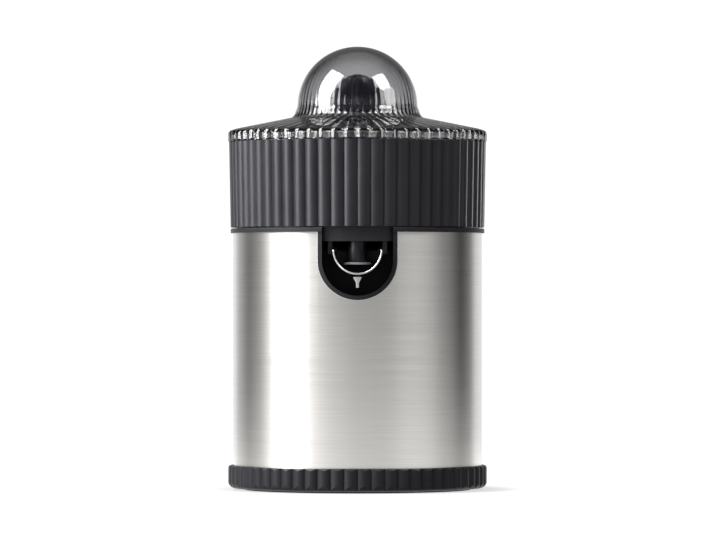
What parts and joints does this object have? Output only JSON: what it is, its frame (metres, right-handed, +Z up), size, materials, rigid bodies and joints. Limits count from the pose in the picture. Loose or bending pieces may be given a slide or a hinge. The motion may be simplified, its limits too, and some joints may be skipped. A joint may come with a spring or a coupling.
{
  "type": "electric citrus juicer",
  "caption": "Round electric citrus juicer: a press-to-start reamer under a clear domed lid, over a fluted collector with a tilting spout, on a steel-sleeved motor base.",
  "frame": {"origin": "on the vertical axis, at the table that the foot ring stands on", "axes": "+Z up along the drive shaft, the spout faces -Y"},
  "size_m": [0.1598, 0.1735, 0.2739],
  "materials": {
    "anthracite_plastic": "fine-textured anthracite plastic",
    "body_steel": "stainless sheet brushed round the body",
    "spout_steel": "polished stainless sheet",
    "smoked_clear": "smoked clear plastic",
    "reamer_plastic": "glossy blue-black plastic",
    "strainer_plastic": "anthracite plastic",
    "silicone": "grey silicone",
    "foot_rubber": "black non-slip rubber",
    "inner_plastic": "moulded plastic",
    "gear_plastic": "natural acetal",
    "magnet": "plastic-bonded ferrite",
    "bearing_bronze": "sintered bronze",
    "bright_steel": "bright steel",
    "core_steel": "laminated core steel",
    "cast_alloy": "die-cast alloy",
    "copper": "enamelled copper wire"
  },
  "bodies": {
    "housing": {"base_ring": "anthracite_plastic", "bottom_plate": "inner_plastic", "foot_ring": "foot_rubber", "base_screws": "bright_steel", "cord_gland": "foot_rubber", "chassis": "inner_plastic", "sleeve": "body_steel", "top_deck": "anthracite_plastic", "deck_screws": "bright_steel", "shaft_seal": "silicone", "gearbox_case": "inner_plastic", "gearbox_cover": "inner_plastic", "gearbox_screws": "bright_steel", "gear_pin": "bright_steel", "output_bush_lower": "bearing_bronze", "output_bush_upper": "bearing_bronze", "return_spring": "bright_steel", "switch_body": "inner_plastic", "switch_screws": "bright_steel", "stator_core": "core_steel", "coil_bobbins": "inner_plastic", "coil_windings": "copper", "motor_bracket_upper": "cast_alloy", "motor_bracket_lower": "cast_alloy", "motor_spacers": "cast_alloy", "motor_screws": "bright_steel", "rotor_bushes": "bearing_bronze", "terminal_block": "inner_plastic", "terminal_screws": "bright_steel"},
    "output_gear": {"output_gear": "gear_plastic"},
    "drive_shaft": {"drive_shaft": "bright_steel", "press_collar": "gear_plastic", "collar_pin": "bright_steel"},
    "compound_gear": {"compound_gear": "gear_plastic"},
    "rotor": {"rotor_magnet": "magnet", "rotor_shaft": "bright_steel", "motor_pinion": "gear_plastic"},
    "switch_plunger": {"switch_plunger": "gear_plastic"},
    "collector": {"collector_bowl": "anthracite_plastic", "outlet_seal": "silicone", "spout_pins": "bright_steel"},
    "spout": {"spout": "spout_steel"},
    "strainer": {"strainer": "strainer_plastic"},
    "shaft_bush": {"shaft_bush": "strainer_plastic", "bush_clip": "bright_steel"},
    "reamer": {"reamer": "reamer_plastic"},
    "lid": {"lid": "smoked_clear"}
  },
  "joints": [
    {"name": "output_spin", "type": "hinge", "parent": "housing", "child": "output_gear", "pos_m": [0, 0, 0.11], "axis": [0, 0, 1], "continuous": true},
    {"name": "shaft_press", "type": "slide", "parent": "output_gear", "child": "drive_shaft", "axis": [0, 0, -1], "range_m": [0, 0.0025], "stiffness_N_per_m": 2000, "springref_m": -0.003, "deforming": ["return_spring"]},
    {"name": "compound_spin", "type": "hinge", "parent": "housing", "child": "compound_gear", "pos_m": [0, 0.033, 0.11], "axis": [0, 0, 1], "continuous": true},
    {"name": "rotor_spin", "type": "hinge", "parent": "housing", "child": "rotor", "pos_m": [-0.0144, 0.00806, 0.08], "axis": [0, 0, 1], "continuous": true},
    {"name": "plunger_press", "type": "slide", "parent": "housing", "child": "switch_plunger", "axis": [0, 0, -1], "range_m": [0, 0.0025]},
    {"name": "collector_lift", "type": "slide", "parent": "housing", "child": "collector", "axis": [0, 0, 1], "range_m": [0, 0.12]},
    {"name": "spout_tilt", "type": "hinge", "parent": "collector", "child": "spout", "pos_m": [0, -0.0645, 0.1473], "axis": [-1, 0, 0], "range_deg": [0, 26]},
    {"name": "strainer_lift", "type": "slide", "parent": "collector", "child": "strainer", "axis": [0, 0, 1], "range_m": [0, 0.06]},
    {"name": "lid_lift", "type": "slide", "parent": "strainer", "child": "lid", "axis": [0, 0, 1], "range_m": [0, 0.08]},
    {"name": "bush_spin", "type": "hinge", "parent": "strainer", "child": "shaft_bush", "pos_m": [0, 0, 0.203], "axis": [0, 0, 1], "continuous": true},
    {"name": "reamer_press", "type": "slide", "parent": "shaft_bush", "child": "reamer", "axis": [0, 0, -1], "range_m": [0, 0.0025]}
  ],
  "couplings": [
    {"joint": "compound_spin", "follows": "output_spin", "ratio": -3.7143},
    {"joint": "rotor_spin", "follows": "output_spin", "ratio": 18.571},
    {"joint": "bush_spin", "follows": "output_spin", "ratio": 1},
    {"joint": "plunger_press", "follows": "shaft_press", "ratio": 1},
    {"joint": "reamer_press", "follows": "shaft_press", "ratio": 1}
  ]
}
